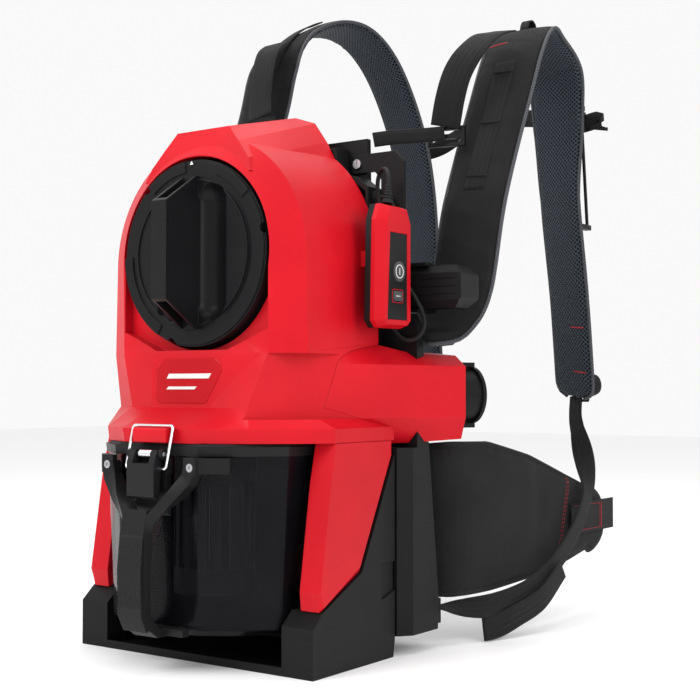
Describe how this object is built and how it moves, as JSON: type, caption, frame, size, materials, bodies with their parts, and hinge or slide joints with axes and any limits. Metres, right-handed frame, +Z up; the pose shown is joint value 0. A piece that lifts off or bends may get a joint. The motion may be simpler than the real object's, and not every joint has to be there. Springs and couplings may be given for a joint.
{
  "type": "backpack vacuum cleaner",
  "caption": "Battery backpack vacuum: round filter lid over a clear latched dust cup in a foot tray, side hose port, tethered remote and padded harness.",
  "frame": {"origin": "centre of the foot's underside, 69 mm forward and rearward of it lie its front and rear edges within 1 mm", "axes": "-Y is the front with the filter lid and cup, +Y the wearer's side, +X the wearer's right, +Z up"},
  "size_m": [0.4365, 0.6584, 0.7473],
  "materials": {
    "red_plastic": "satin",
    "black_plastic": "textured",
    "charcoal_plastic": "satin",
    "clear_plastic": "smoked clear",
    "rubber": "matt",
    "spring_steel": "polished",
    "zinc_steel": "plated",
    "filter_paper": "pleated",
    "padding": "woven with mesh",
    "webbing": "woven",
    "circuit_board": "lacquered",
    "button": "matt",
    "motor_metal": "cast",
    "cable": "satin"
  },
  "bodies": {
    "machine": {"base_tray": "black_plastic", "left_leg_cover": "red_plastic", "right_leg_cover": "red_plastic", "front_housing": "red_plastic", "intake_duct": "red_plastic", "hose_port": "black_plastic", "catch_block": "red_plastic", "filter_cartridge": "filter_paper", "filter_seal": "rubber", "rear_housing": "black_plastic", "remote_front": "red_plastic", "remote_back": "black_plastic", "remote_face": "charcoal_plastic", "remote_board": "circuit_board", "remote_dock": "red_plastic", "remote_cord": "cable", "strain_relief": "rubber", "cord_gland": "rubber", "back_frame": "black_plastic", "frame_screws": "zinc_steel", "hook_plate": "black_plastic", "hook_screw": "zinc_steel", "battery_bay": "black_plastic", "grab_handle": "black_plastic", "motor": "motor_metal", "motor_mount": "rubber", "shoulder_pad_right": "padding", "shoulder_pad_left": "padding", "load_lifter_right": "webbing", "load_lifter_left": "webbing", "hip_wing_right": "padding", "hip_wing_left": "padding", "hip_webbing": "webbing", "lower_webbing_right": "webbing", "lower_webbing_left": "webbing", "lower_buckles": "black_plastic", "lifter_buckles": "black_plastic", "sternum_rails": "black_plastic", "back_pad": "padding"},
    "lid": {"filter_lid": "black_plastic", "lid_gasket": "rubber"},
    "cup": {"dust_cup": "clear_plastic", "cup_collar": "charcoal_plastic", "cup_seal": "rubber", "prefilter_cage": "charcoal_plastic", "cup_handle": "black_plastic", "handle_screws": "zinc_steel", "latch_mount": "red_plastic", "latch_pin": "zinc_steel", "latch_spring": "spring_steel"},
    "lever": {"latch_lever": "charcoal_plastic"},
    "bail": {"wire_bail": "spring_steel"},
    "battery": {"battery_pack": "black_plastic"},
    "release": {"battery_release": "charcoal_plastic"},
    "power": {"power_button": "button"},
    "mode": {"mode_button": "button"},
    "impeller": {"impeller": "charcoal_plastic"},
    "sternum": {"sternum_sliders": "black_plastic", "sternum_strap": "webbing"}
  },
  "joints": [
    {"name": "lid_twist", "type": "hinge", "parent": "machine", "child": "lid", "pos_m": [0, -0.062, 0.41], "axis": [0, 1, 0], "range_deg": [0, 30]},
    {"name": "cup_slide", "type": "slide", "parent": "machine", "child": "cup", "axis": [0, -1, 0], "range_m": [0, 0.17]},
    {"name": "latch_lift", "type": "hinge", "parent": "cup", "child": "lever", "pos_m": [0, -0.13, 0.21], "axis": [-1, 0, 0], "range_deg": [0, 100]},
    {"name": "bail_swing", "type": "hinge", "parent": "lever", "child": "bail", "pos_m": [0, -0.131, 0.196], "axis": [1, 0, 0], "range_deg": [0, 120]},
    {"name": "battery_slide", "type": "slide", "parent": "machine", "child": "battery", "axis": [1, 0, 0], "range_m": [0, 0.12]},
    {"name": "battery_button", "type": "slide", "parent": "battery", "child": "release", "axis": [0, 0, -1], "range_m": [0, 0.0025], "stiffness_N_per_m": 800, "springref_m": -0.001},
    {"name": "power_press", "type": "slide", "parent": "machine", "child": "power", "axis": [-1, 0, 0], "range_m": [0, 0.0008], "stiffness_N_per_m": 1500, "springref_m": -0.0005},
    {"name": "mode_press", "type": "slide", "parent": "machine", "child": "mode", "axis": [-1, 0, 0], "range_m": [0, 0.0008], "stiffness_N_per_m": 1500, "springref_m": -0.0005},
    {"name": "impeller_spin", "type": "hinge", "parent": "machine", "child": "impeller", "pos_m": [0, 0.005, 0.25], "axis": [0, 0, 1], "continuous": true},
    {"name": "sternum_height", "type": "slide", "parent": "machine", "child": "sternum", "axis": [0, 0.1093, -0.994], "range_m": [0, 0.08]}
  ],
  "couplings": [
    {"joint": "bail_swing", "follows": "latch_lift", "ratio": 1.15}
  ]
}
